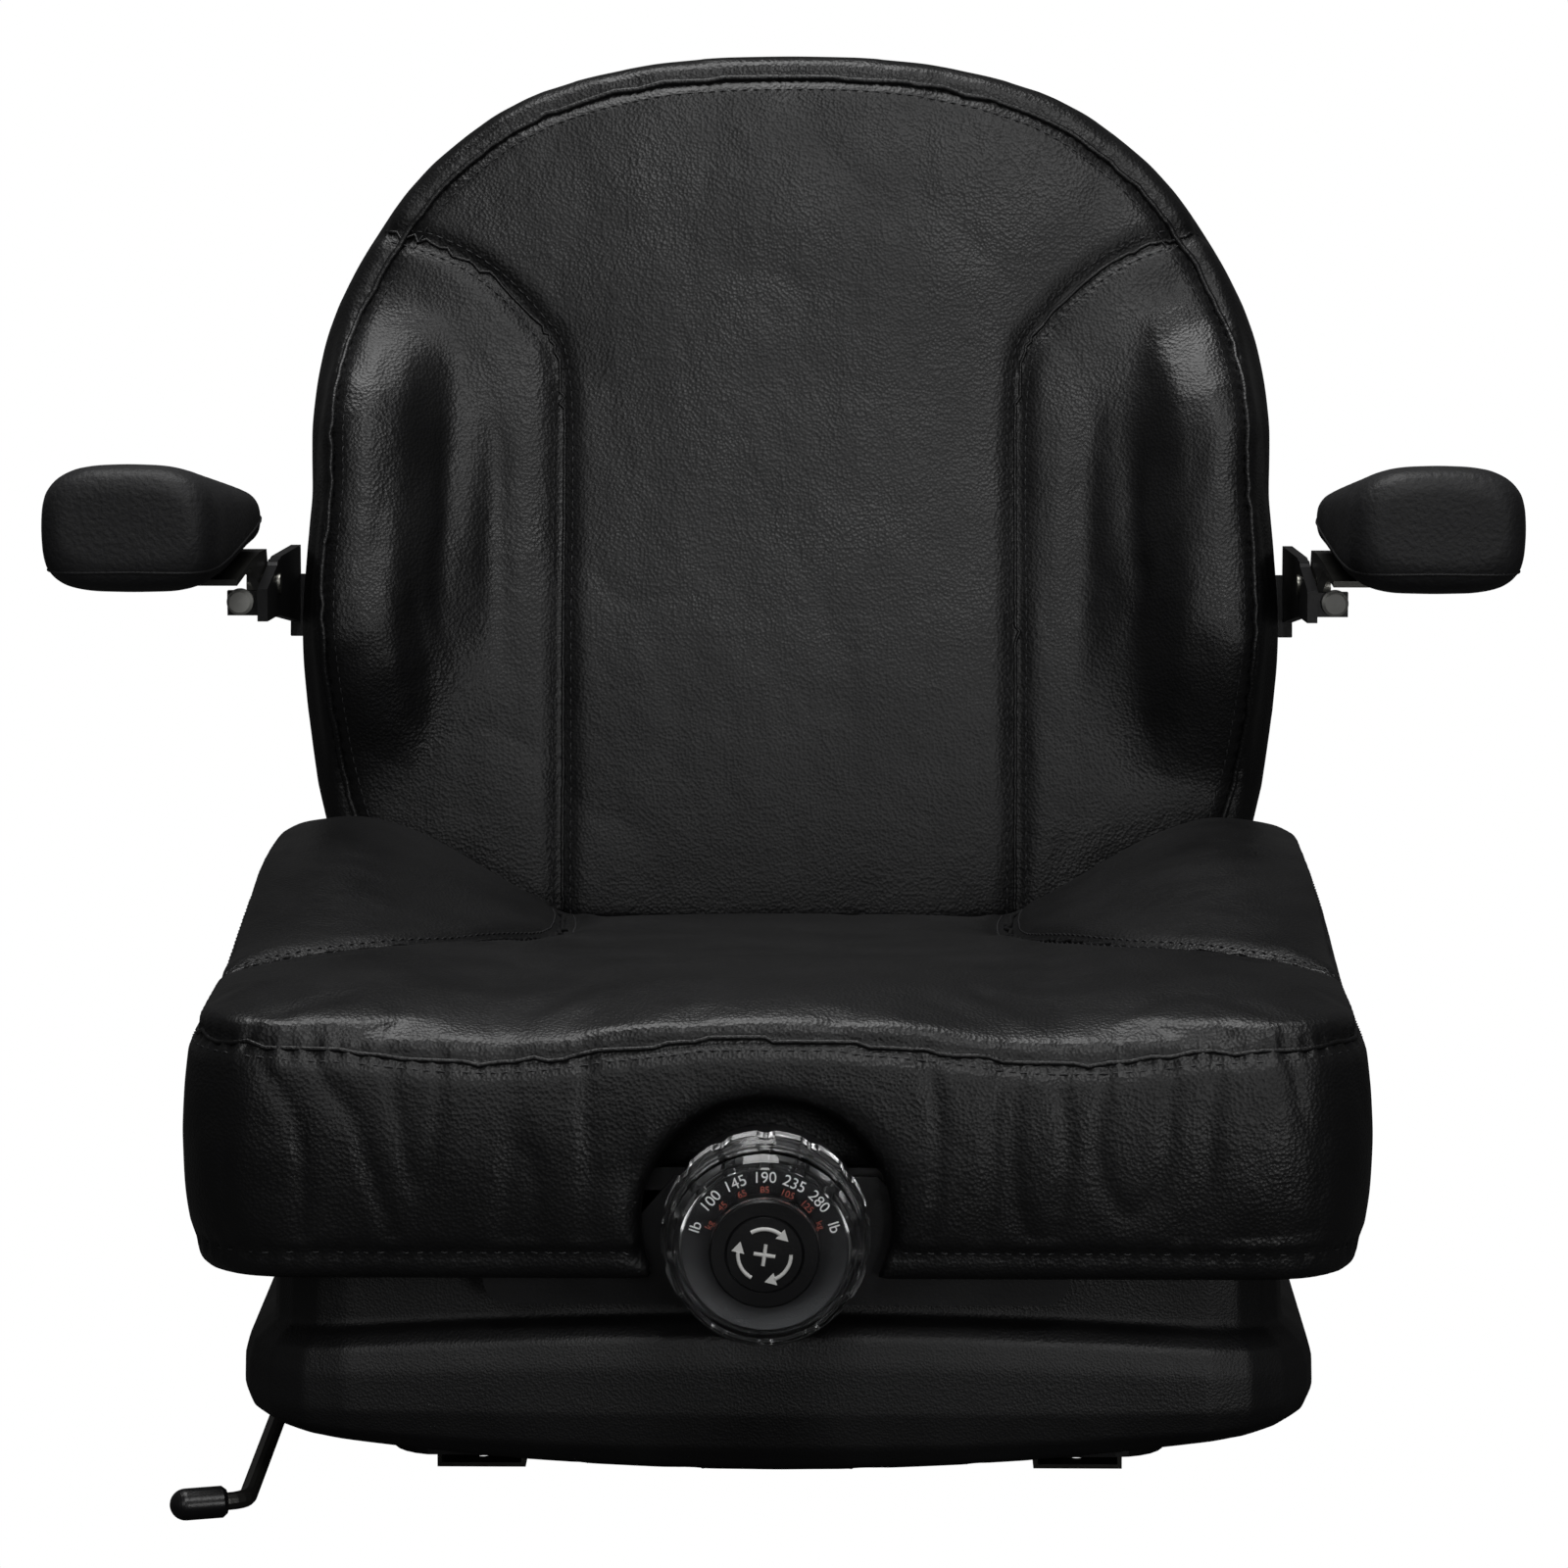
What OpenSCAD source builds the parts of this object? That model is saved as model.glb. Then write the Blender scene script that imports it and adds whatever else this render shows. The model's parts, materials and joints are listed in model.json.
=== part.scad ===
// Tractor suspension seat: foam cushion and backrest, flip-up armrests, scissor suspension with
// a weight knob, rubber boot and fore and aft slide rails. Millimetres, +Z up, front faces -Y,
// origin at the centre of the rail bolt pattern on the underside of the rails.

/* [Seat cushion] */
// Width over the cushion's side bulge
cushion_w = 520; // [480:5:560]
// Depth of the cushion from front to rear
cushion_d = 450; // [430:5:470]
// Height of the front boxing at the corners
boxing_h = 112; // [104:1:124]
// How far the rear wings stand above the seating hollow
wing_h = 56; // [20:2:70]
// Rise of the pommel over the two thigh hollows at the front edge
pommel_h = 9; // [0:1:14]
// Width of foam left round the cavity for the suspension
cushion_wall = 20; // [14:1:22]
// Radius of the arched notch round the weight knob
notch_r = 54; // [50:1:60]

/* [Backrest] */
// Greatest width of the backrest
back_w = 500; // [460:5:500]
// Length of the backrest along its slope
back_h = 463; // [430:5:480]
// Thickness of the backrest from its front seam to its rear panel
back_t = 58; // [48:1:66]
// Slope of the backrest from upright
recline = 12; // [8:1:14]
// How far the side bolsters stand proud of the middle panel
bolster_h = 34; // [15:1:40]
// Thickness of the moulded rear panel
panel_t = 3; // [2:0.5:4]

/* [Armrests] */
// Length of an armrest pad
pad_l = 262; // [220:2:280]
// Width of an armrest pad
pad_w = 83; // [60:1:90]
// Height of the pad at its front end
pad_h_front = 61; // [48:1:66]
// Height of the pad at its rear end
pad_h_rear = 31; // [26:1:36]
// Upward slope of the pad towards its front
pad_tilt = 8.5; // [4:0.5:12]
// Height of the armrest pivot over the rail underside
pad_pivot_z = 364; // [340:1:370]
// Thickness of the armrest brackets
bracket_t = 5; // [4:0.5:5]

/* [Suspension] */
// Length of a scissor arm between its end pivots
arm_l = 300; // [280:2:310]
// Rise of a scissor arm from its lower to its upper pivot with nobody on the seat
arm_rise = 84; // [78:1:90]
// Vertical travel of the seat
stroke = 46; // [36:1:46]
// Height of a scissor arm bar
arm_h = 24; // [20:1:24]
// Thickness of a scissor arm bar
arm_t = 5; // [4:0.5:5]
// Diameter of the track rollers
roller_d = 18; // [16:1:20]
// Diameter of the rear pivot shafts
shaft_d = 14; // [12:1:15]
// Sheet thickness of both suspension frames
sheet_t = 2.5; // [2:0.25:3]
// Coil diameter of the suspension springs
spring_d = 26; // [20:1:28]
// Wire diameter of the suspension springs
spring_wire = 4; // [3:0.5:4.5]
// Number of coils in each suspension spring
spring_coils = 11; // [8:1:13]
// Diameter of the damper body
damper_d = 24; // [18:1:24]

/* [Weight adjuster] */
// Diameter over the lobes of the clear knob
knob_d = 90; // [84:1:94]
// Depth of the clear knob
knob_l = 40; // [34:1:44]
// Number of lobes round the knob
knob_lobes = 14; // [10:1:18]
// Diameter of the adjuster screw
screw_d = 12; // [10:1:14]
// Height of the knob axis over the rail underside
knob_z = 138; // [136:1:140]
// Sideways place of the knob axis
knob_x = -4; // [-8:1:8]

/* [Boot] */
// Width of the rubber boot
boot_w = 474; // [440:2:480]
// Depth of the rubber boot from front to rear
boot_d = 433; // [420:1:440]
// Wall thickness of the boot
boot_t = 2.5; // [2:0.25:3]

/* [Slide rails] */
// Distance between the rails, centre to centre, and across the mounting holes
rail_gap = 270; // [250:2:280]
// Length of the fixed rails
rail_l = 310; // [300:2:330]
// Fore and aft distance between the mounting holes
bolt_gap_y = 280; // [270:2:284]
// Diameter of the mounting holes
bolt_d = 8.5; // [6.5:0.5:10.5]
// Width of a fixed rail
rail_w = 40; // [36:1:44]
// Height of a fixed rail
rail_h = 14; // [12:1:16]
// Sheet thickness of the rails
rail_t = 2; // [1.5:0.25:2.5]
// Travel of the seat to each side of the middle
slide_travel = 75; // [50:5:75]

/* [Hidden] */
$fn = 48;
gap = 0.3;                       // room between pieces that move past each other
fit = 0.05;                      // radial room of a running fit
eps = 0.5;                       // how far a cutter runs past the face it cuts
black_vinyl = "#1b1b1c";
black_steel = "#222223";
plated_steel = "#b9babc";
black_plastic = "#161617";

// Heights of the suspension
frame_z = rail_h + 3;
floor_z = frame_z + sheet_t;
track_half = roller_d / 2 + gap + sheet_t;
low_z = floor_z + track_half;
up_z = low_z + arm_rise;
deck_z = up_z + track_half;
deck_top = deck_z + sheet_t;
pan_z = knob_z + 20;
pan_t = 2;
rest_a = asin(arm_rise / arm_l);
pivot_y = 130;
roller_y = pivot_y - arm_l * cos(rest_a);
mid_y = (pivot_y + roller_y) / 2;
mid_z = (low_z + up_z) / 2;
low_roller_y = pivot_y - arm_l * cos(asin((arm_rise - stroke) / arm_l));

// Sideways places of the suspension
inner_x = 132;
outer_x = 145;
roller_w = 7;
axle_d = 8;

// Places of the cushion
cushion_y = -278;
cushion_z = 113;
cushion_rear = cushion_y + cushion_d;
apron_y = cushion_y + cushion_wall + 2;
knob_y = cushion_y - 2;
spring_z = (deck_top + pan_z) / 2;
yoke_y = -150;
spring_x = 60;

function smooth(t) = let(c = min(1, max(0, t))) c * c * (3 - 2 * c);
function ramp(v, a, b) = smooth((v - a) / (b - a));
function mean(list) = [for (i = [0:2]) sum([for (p = list) p[i]]) / len(list)];
function sum(v, i = 0) = i < len(v) ? v[i] + sum(v, i + 1) : 0;
function arc(c, r, from, turn, n) = [for (i = [0:n - 1]) c + r * [cos(from + turn * i / n), sin(from + turn * i / n)]];
function edge(a, b, n) = [for (i = [0:n - 1]) a + (b - a) * i / n];

// Rounded rectangle as one ring of points, drawn inwards by an inset
function plan_ring(half_w, front, rear, r_front, r_rear, inset, n_wide = 18, n_deep = 10, n_arc = 5) =
    let(w = half_w - inset, f = front + inset, b = rear - inset)
    let(rf = max(r_front - inset, 5), rr = max(r_rear - inset, 5))
    concat(
        edge([-w + rf, f], [w - rf, f], n_wide),
        arc([w - rf, f + rf], rf, -90, 90, n_arc),
        edge([w, f + rf], [w, b - rr], n_deep),
        arc([w - rr, b - rr], rr, 0, 90, n_arc),
        edge([w - rr, b], [-w + rr, b], n_wide),
        arc([-w + rr, b - rr], rr, 90, 90, n_arc),
        edge([-w, b - rr], [-w, f + rf], n_deep),
        arc([-w + rf, f + rf], rf, 180, 90, n_arc));

// Closed solid through a stack of rings, with a fan of triangles on each end
module loft(rings) {
    n = len(rings[0]);
    m = len(rings);
    points = concat([for (r = rings, p = r) p], [mean(rings[0]), mean(rings[m - 1])]);
    sides = [for (j = [0:m - 2], i = [0:n - 1])
        let(a = j * n + i, b = j * n + (i + 1) % n)
        each [[a, a + n, b], [b, a + n, b + n]]];
    low = [for (i = [0:n - 1]) [i, (i + 1) % n, m * n]];
    high = [for (i = [0:n - 1]) [(m - 1) * n + (i + 1) % n, (m - 1) * n + i, m * n + 1]];
    polyhedron(points, concat(sides, low, high), convexity = 8);
}

// Closed tube-like shell: the last ring joins the first
module shell_loft(rings) {
    n = len(rings[0]);
    m = len(rings);
    faces = [for (j = [0:m - 1], i = [0:n - 1])
        let(a = j * n + i, b = j * n + (i + 1) % n)
        let(c = ((j + 1) % m) * n + i, d = ((j + 1) % m) * n + (i + 1) % n)
        each [[a, c, b], [b, c, d]]];
    polyhedron([for (r = rings, p = r) p], faces, convexity = 10);
}

module along_x(x, y, z, l, d) translate([x, y, z]) rotate([0, 90, 0]) cylinder(d = d, h = l);
module along_y(x, y, z, l, d) translate([x, y, z]) rotate([-90, 0, 0]) cylinder(d = d, h = l);
module block(x0, x1, y0, y1, z0, z1) translate([x0, y0, z0]) cube([x1 - x0, y1 - y0, z1 - z0]);
module side(s) scale([1, 1, 1]) if (s > 0) children(); else mirror([1, 0, 0]) children();

// Flat sheet with rounded corners, lying in the XY plane
module sheet(w, y0, y1, z0, t, r) {
    translate([0, 0, z0])
        linear_extrude(t)
            round_plate(w, y0, y1, r);
}
module round_plate(w, y0, y1, r) {
    polygon(concat(
        arc([w / 2 - r, y0 + r], r, -90, 90, 6), arc([w / 2 - r, y1 - r], r, 0, 90, 6),
        arc([-w / 2 + r, y1 - r], r, 90, 90, 6), arc([-w / 2 + r, y0 + r], r, 180, 90, 6)));
}

// Slide rails
module rail() {
    half = rail_w / 2;
    lip = 8;
    color(black_steel) difference() {
        translate([rail_gap / 2, rail_l / 2, 0]) rotate([90, 0, 0]) linear_extrude(rail_l)
            polygon([
                [-half, 0], [half, 0], [half, rail_h], [lip, rail_h], [lip, rail_h - rail_t],
                [half - rail_t, rail_h - rail_t], [half - rail_t, rail_t], [-half + rail_t, rail_t],
                [-half + rail_t, rail_h - rail_t], [-lip, rail_h - rail_t], [-lip, rail_h], [-half, rail_h]]);
        for (y = [-1, 1] * bolt_gap_y / 2)
            translate([rail_gap / 2, y, -eps]) cylinder(d = bolt_d, h = rail_t + 2 * eps);
        for (i = [-5:5])
            translate([rail_gap / 2 + half - rail_t - eps, latch_y - latch_pitch / 4 + i * latch_pitch, rail_h / 2])
                cube([rail_t + 2 * eps, latch_pitch / 2, rail_h / 2 - rail_t - 1]);
    }
}
latch_pitch = 15;
latch_y = -75;
module rail_left() mirror([1, 0, 0]) rail();
module rail_right() rail();

slider_l = 230;
module slider() {
    stem = 5;
    color(plated_steel)
        translate([rail_gap / 2, slider_l / 2, 0]) rotate([90, 0, 0]) linear_extrude(slider_l)
            polygon([
                [-rail_w / 2 + 4, rail_t + gap], [rail_w / 2 - 4, rail_t + gap],
                [rail_w / 2 - 4, rail_t + gap + rail_t], [stem, rail_t + gap + rail_t],
                [stem, frame_z - rail_t], [15, frame_z - rail_t], [15, frame_z],
                [-15, frame_z], [-15, frame_z - rail_t], [-stem, frame_z - rail_t],
                [-stem, rail_t + gap + rail_t], [-rail_w / 2 + 4, rail_t + gap + rail_t]]);
}
module slider_left() mirror([1, 0, 0]) slider();
module slider_right() slider();

// Lower frame: a pressed floor with a turned-up edge, slots and cross ribs
floor_w = 345;
floor_front = -198;
floor_rear = 166;
module lower_frame() {
    color(black_steel) difference() {
        union() {
            sheet(floor_w, floor_front, floor_rear, frame_z, sheet_t, 22);
            difference() {
                sheet(floor_w, floor_front, floor_rear, floor_z, 9, 22);
                sheet(floor_w - 2 * sheet_t, floor_front + sheet_t, floor_rear - sheet_t, floor_z - eps, 9 + 2 * eps, 20);
            }
        }
        for (x = [-85, 0, 85], y = [-95, 45])
            translate([x, y, frame_z - eps]) linear_extrude(sheet_t + 2 * eps) round_plate(56, -28, 28, 12);
    }
}

// C-shaped roller track, open towards the middle
module track(x0, z) {
    depth = roller_w + 4.5;
    color(black_steel) translate([x0, low_roller_y - roller_d / 2 - 8, z])
        rotate([-90, 0, 0]) linear_extrude(roller_y - low_roller_y + roller_d + 22)
            polygon([
                [0, -track_half], [depth, -track_half], [depth, track_half], [0, track_half],
                [0, track_half - sheet_t], [depth - sheet_t, track_half - sheet_t],
                [depth - sheet_t, -track_half + sheet_t], [0, -track_half + sheet_t]]);
}
module lower_track_left() mirror([1, 0, 0]) track(inner_x + arm_t + gap, low_z);
module lower_track_right() track(inner_x + arm_t + gap, low_z);
module upper_track_left() mirror([1, 0, 0]) track(outer_x + arm_t + gap, up_z);
module upper_track_right() track(outer_x + arm_t + gap, up_z);

// Ears that hold a rear pivot shaft; base is the face that they stand on
module ear(x0, z, base) {
    s = base < z ? -1 : 1;
    color(black_steel) difference() {
        translate([x0, 0, 0]) rotate([90, 0, 90]) linear_extrude(4)
            polygon(concat(
                [[pivot_y + 20, base], [pivot_y + 11, z]],
                [for (a = [15:15:165]) [pivot_y + 11 * cos(a), z - s * 11 * sin(a)]],
                [[pivot_y - 11, z], [pivot_y - 20, base]]));
        along_x(x0 - eps, pivot_y, z, 4 + 2 * eps, shaft_d);
    }
}
module lower_pivot_ears() for (s = [-1, 1]) side(s) ear(outer_x + arm_t + 1.5, low_z, floor_z);
module upper_pivot_ears() for (s = [-1, 1]) side(s) ear(inner_x + arm_t + 1.5, up_z, deck_z);
module shaft(half, z) {
    color(plated_steel) {
        along_x(-half, pivot_y, z, 2 * half, shaft_d);
        for (s = [-1, 1]) side(s) along_x(half, pivot_y, z, 2, shaft_d + 4);
    }
}
module lower_pivot_shaft() shaft(outer_x + arm_t + 5.5, low_z);
module upper_pivot_shaft() shaft(inner_x + arm_t + 5.5, up_z);

bump_h = up_z - track_half - stroke - 0.5 - floor_z;
module bump_stops() {
    color(black_plastic) for (s = [-1, 1]) side(s)
        translate([outer_x + 14.5, roller_y, floor_z]) rotate_extrude()
            polygon([[0, 0], [9, 0], [9, bump_h * 0.35], [6.5, bump_h * 0.5], [9, bump_h * 0.65],
                [7.5, bump_h], [0, bump_h]]);
}

// Scissor arms: flat bars with round ends and three pivot holes
module arm_bar(x0, slope, end_hole) {
    color(black_steel) translate([x0, mid_y, mid_z]) rotate([slope * rest_a, 0, 0]) rotate([90, 0, 90]) difference() {
        linear_extrude(arm_t) polygon(concat(
            arc([arm_l / 2, 0], 11, -80, 160, 10), [[arm_l / 2 + 11 * cos(80), 11 * sin(80)]],
            [[arm_l / 2 - 30, arm_h / 2], [-arm_l / 2 + 30, arm_h / 2]],
            arc([-arm_l / 2, 0], 11, 100, 160, 10), [[-arm_l / 2 + 11 * cos(260), 11 * sin(260)]],
            [[-arm_l / 2 + 30, -arm_h / 2], [arm_l / 2 - 30, -arm_h / 2]]));
        translate([arm_l / 2, 0, -eps]) cylinder(d = shaft_d + 2 * fit, h = arm_t + 2 * eps);
        translate([0, 0, -eps]) cylinder(d = 10 + 2 * end_hole, h = arm_t + 2 * eps);
        translate([-arm_l / 2, 0, -eps]) cylinder(d = axle_d, h = arm_t + 2 * eps);
    }
}
module outer_arm_left() mirror([1, 0, 0]) arm_bar(outer_x, -1, 0);
module outer_arm_right() arm_bar(outer_x, -1, 0);
module inner_arm_left() mirror([1, 0, 0]) arm_bar(inner_x, 1, fit);
module inner_arm_right() arm_bar(inner_x, 1, fit);

// Tubes round the pivot shafts tie the left and right arms, with lugs for the damper and springs
damper_r = 20;
lug_t = 5;
damper_z = low_z + damper_r;
fold_a = rest_a - asin((arm_rise - stroke) / arm_l);
lug_lean = fold_a / 2;
lug_reach = (spring_z - up_z) / cos(lug_lean);
module tie_tube(half, z) {
    difference() {
        along_x(-half, pivot_y, z, 2 * half, shaft_d + 8);
        along_x(-half - eps, pivot_y, z, 2 * half + 2 * eps, shaft_d + 2 * fit);
    }
}
module lug(x, z, reach, lean, hole) {
    difference() {
        translate([x - lug_t / 2, pivot_y, z]) rotate([-lean, 0, 0]) rotate([90, 0, 90]) difference() {
            linear_extrude(lug_t)
                polygon(concat([[10.5, 0], [6.3, reach]], arc([0, reach], 6.3, 20, 140, 7), [[-6.3, reach], [-10.5, 0]]));
            translate([0, reach, -eps]) cylinder(d = hole, h = lug_t + 2 * eps);
        }
        along_x(x - lug_t, pivot_y, z, 2 * lug_t, shaft_d + 2 * fit);
    }
}
module outer_rear_tube() color(black_steel) {
    tie_tube(outer_x - 0.1, low_z);
    lug(0, low_z, damper_r, lug_lean, 8);
}
module inner_rear_tube() color(black_steel) {
    tie_tube(inner_x - 0.1, up_z);
    for (x = [-spring_x, spring_x]) difference() {
        translate([x, pivot_y, up_z]) rotate([lug_lean, 0, 0]) difference() {
            translate([-8, -2.5, 0]) cube([16, 5, lug_reach + 6]);
            along_y(0, -3, lug_reach, 6, spring_wire + 1);
        }
        along_x(x - 10, pivot_y, up_z, 20, shaft_d + 2 * fit);
    }
}
module cross_shaft(half, z) {
    color(plated_steel) {
        along_x(-half + 0.1, roller_y, z, 2 * half - 0.2, 16);
        for (s = [-1, 1]) side(s) along_x(half - 0.1, roller_y, z, arm_t + roller_w + 1.8, axle_d);
    }
}
module outer_front_shaft() cross_shaft(outer_x, up_z);
module inner_front_shaft() cross_shaft(inner_x, low_z);
module centre_pins() {
    color(plated_steel) for (s = [-1, 1]) side(s) {
        along_x(inner_x - 3, mid_y, mid_z, outer_x + arm_t - inner_x + 3, 10);
        along_x(inner_x - 5, mid_y, mid_z, 4.5, 16);
        along_x(inner_x + arm_t + gap, mid_y, mid_z, outer_x - inner_x - arm_t - 2 * gap, 16);
    }
}
module rollers(x0, z) {
    color(black_plastic) for (s = [-1, 1]) side(s)
        translate([x0, roller_y, z]) rotate([0, 90, 0]) rotate_extrude() polygon([
            [axle_d / 2 + fit, 0], [roller_d / 2 - 1, 0], [roller_d / 2, 1],
            [roller_d / 2, roller_w - 1], [roller_d / 2 - 1, roller_w], [axle_d / 2 + fit, roller_w]]);
}
module upper_rollers() rollers(outer_x + arm_t + 1, up_z);
module lower_rollers() rollers(inner_x + arm_t + 1, low_z);

// Damper between the floor and the lug on the outer arms
damper_front = -85;
damper_body_l = 128;
damper_end = pivot_y + damper_r * sin(lug_lean);
damper_axis_z = low_z + damper_r * cos(lug_lean);
module damper_body() {
    color(black_plastic) {
        along_x(-4, damper_front, damper_axis_z, 8, 16);
        along_y(0, damper_front + 6, damper_axis_z, 8, 8);
        difference() {
            along_y(0, damper_front + 14, damper_axis_z, damper_body_l, damper_d);
            along_y(0, damper_front + 22, damper_axis_z, damper_body_l, 10.4);
        }
    }
}
module damper_lug() {
    color(black_steel) for (s = [-1, 1]) side(s)
        block(4 + gap, 4 + gap + 4, damper_front - 9, damper_front + 9, floor_z, damper_axis_z + 7);
}
module damper_rod() {
    color(plated_steel) difference() {
        union() {
            along_y(0, damper_front + 60, damper_axis_z, damper_end - damper_front - 60 - 12, 10);
            for (s = [-1, 1]) side(s) {
                block(lug_t / 2 + gap, lug_t / 2 + 4, damper_end - 24, damper_end + 8, damper_axis_z - 6, damper_axis_z + 6);
                along_x(0, damper_end, damper_axis_z, lug_t / 2 + gap + 0.2, 7.2);
            }
            block(-lug_t / 2 - 4, lug_t / 2 + 4, damper_end - 24, damper_end - 14, damper_axis_z - 6, damper_axis_z + 6);
        }
    }
}

// Slide lever with its latch comb beside the left rail
lever_x = -232;
lever_pivot = [-166, -18];
latch_z = rail_h + gap;
lever_z = latch_z - 4 - gap;
module lever_pin() {
    color(plated_steel) translate([lever_pivot[0], lever_pivot[1], latch_z - 3]) {
        cylinder(d = 8, h = frame_z - latch_z + 3);
        cylinder(d = 12, h = 3 - gap);
    }
}
module latch_plate() {
    rail_side = -rail_gap / 2 - rail_w / 2;
    color(plated_steel) {
        difference() {
            translate([0, 0, latch_z]) linear_extrude(2.4)
                polygon([[rail_side - 1, -95], [-170, -95], [-200, -44], [-200, -14], [-176, -6], [rail_side - 1, -6]]);
            translate([lever_pivot[0], lever_pivot[1], latch_z - eps]) cylinder(d = 8 + 2 * fit, h = 4);
        }
        for (i = [-1:1])
            block(rail_side - 3, rail_side - 0.5, latch_y + i * latch_pitch - 3, latch_y + i * latch_pitch + 3, 6, latch_z + eps);
    }
}
lever_path = [[-180, -18, lever_z], [lever_x, -75, lever_z], [lever_x, -248, lever_z], [lever_x - 26, -256, lever_z]];
module lever_rod() {
    bend = 8;
    corner = function(a, b, c) [b + bend * (a - b) / norm(a - b), b, b + bend * (c - b) / norm(c - b)];
    round_corner = function(k) [for (i = [0:5]) let(t = i / 5)
        k[0] * (1 - t) * (1 - t) + k[1] * 2 * t * (1 - t) + k[2] * t * t];
    path = concat(
        [lever_path[0]], round_corner(corner(lever_path[0], lever_path[1], lever_path[2])),
        round_corner(corner(lever_path[1], lever_path[2], lever_path[3])), [lever_path[3]]);
    rings = [for (i = [0:len(path) - 1])
        let(v = path[min(i + 1, len(path) - 1)] - path[max(i - 1, 0)], t = v / norm(v), u = [t[1], -t[0], 0])
        [for (k = [0:11]) path[i] + 4 * (cos(-30 * k) * u + sin(-30 * k) * [0, 0, 1])]];
    color(plated_steel) loft(rings);
}
module lever_grip() {
    way = lever_path[3] - lever_path[2];
    color(black_vinyl) translate(lever_path[2]) rotate([0, 0, atan2(way[1], way[0])]) rotate([0, 90, 0]) difference() {
        translate([0, 0, 9]) rotate_extrude() polygon(concat(
            [[0, 0], [5.4, 0], [7, 2]], arc([0, 18], 7, 0, 90, 8), [[0, 25]]));
        translate([0, 0, 8]) cylinder(d = 8 + 2 * fit, h = 20);
    }
}

// Upper frame: deck, turned-down edge and the front apron that carries the knob
deck_w = 350;
deck_rear = pivot_y + 20;
apron_w = 255;
apron_low = 100;
module upper_frame() {
    color(black_steel) {
        difference() {
            sheet(deck_w, apron_y, deck_rear, deck_z, sheet_t, 16);
            for (x = [-spring_x, spring_x])
                translate([x, pivot_y - 3, deck_z - eps]) linear_extrude(sheet_t + 2 * eps) round_plate(20, -22, 18, 5);
            for (x = [-80, 0, 80])
                translate([x, -30, deck_z - eps]) linear_extrude(sheet_t + 2 * eps) round_plate(56, -28, 28, 12);
        }
        difference() {
            translate([0, apron_y + sheet_t, 0]) rotate([90, 0, 0]) linear_extrude(sheet_t) polygon(concat(
                arc([apron_w / 2 - 12, apron_low + 12], 12, -90, 90, 6), [[apron_w / 2, deck_z], [70, deck_z]],
                [[44, pan_z - 1], [-44, pan_z - 1], [-70, deck_z], [-apron_w / 2, deck_z]],
                arc([-apron_w / 2 + 12, apron_low + 12], 12, 180, 90, 6)));
            along_y(knob_x, apron_y - eps, knob_z, sheet_t + 2 * eps, screw_d + 4 + 4 * fit);
        }
    }
}
riser_x = deck_w / 2 - 26;
module riser() {
    t = 2;
    color(black_steel) translate([riser_x, deck_rear - 22, 0]) rotate([90, 0, 0])
        linear_extrude(deck_rear - 22 - apron_y - 34) polygon([
            [0, deck_top], [24, deck_top], [24, deck_top + t], [t, deck_top + t],
            [t, pan_z - t], [24, pan_z - t], [24, pan_z], [0, pan_z]]);
}
module riser_left() mirror([1, 0, 0]) riser();
module riser_right() riser();

pan_w = 392;
module seat_pan() {
    color(black_steel) difference() {
        union() {
            sheet(pan_w, apron_y + 4, cushion_rear - cushion_wall - 6, pan_z, pan_t, 30);
            difference() {
                sheet(pan_w, apron_y + 4, cushion_rear - cushion_wall - 6, pan_z - 8, 8, 30);
                sheet(pan_w - 4, apron_y + 6, cushion_rear - cushion_wall - 8, pan_z - 8 - eps, 8 + 2 * eps, 28);
            }
        }
        for (x = [-60, 60], y = [-150, -60, 30, 100])
            translate([x, y, pan_z - eps]) cylinder(d = 12, h = pan_t + 2 * eps);
    }
}

// Seat cushion surface: a pommel and two thigh hollows in front, a hollow between wings behind
half_w = cushion_w / 2;
function side_top(y) = cushion_z + boxing_h + 5 + (wing_h - 35) * ramp(y, -150, 60);
function hollow_top(y) =
    let(t = (y - cushion_y) / cushion_d)
    cushion_z + boxing_h + 7 + (21 - wing_h) * (0.7 * smooth(t) + 0.3 * min(1, max(0, t)));
function wing_share(x) = ramp(abs(x), 0.34 * half_w, 0.83 * half_w);
function thigh_dip(x, y) = pommel_h * exp(-pow((abs(x) - 0.45 * half_w) / 52, 2)) * (1 - ramp(y, -278, -90));
function seat_top(x, y) =
    let(s = wing_share(x))
    hollow_top(y) * (1 - s) + side_top(y) * s - thigh_dip(x, y);
function cushion_ring(inset, z) =
    [for (p = plan_ring(half_w, cushion_y, cushion_rear, 46, 58, inset)) [p[0], p[1], z]];
function cushion_top_ring(inset, drop) =
    [for (p = plan_ring(half_w, cushion_y, cushion_rear, 46, 58, inset)) [p[0], p[1], seat_top(p[0], p[1]) - drop]];
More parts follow.
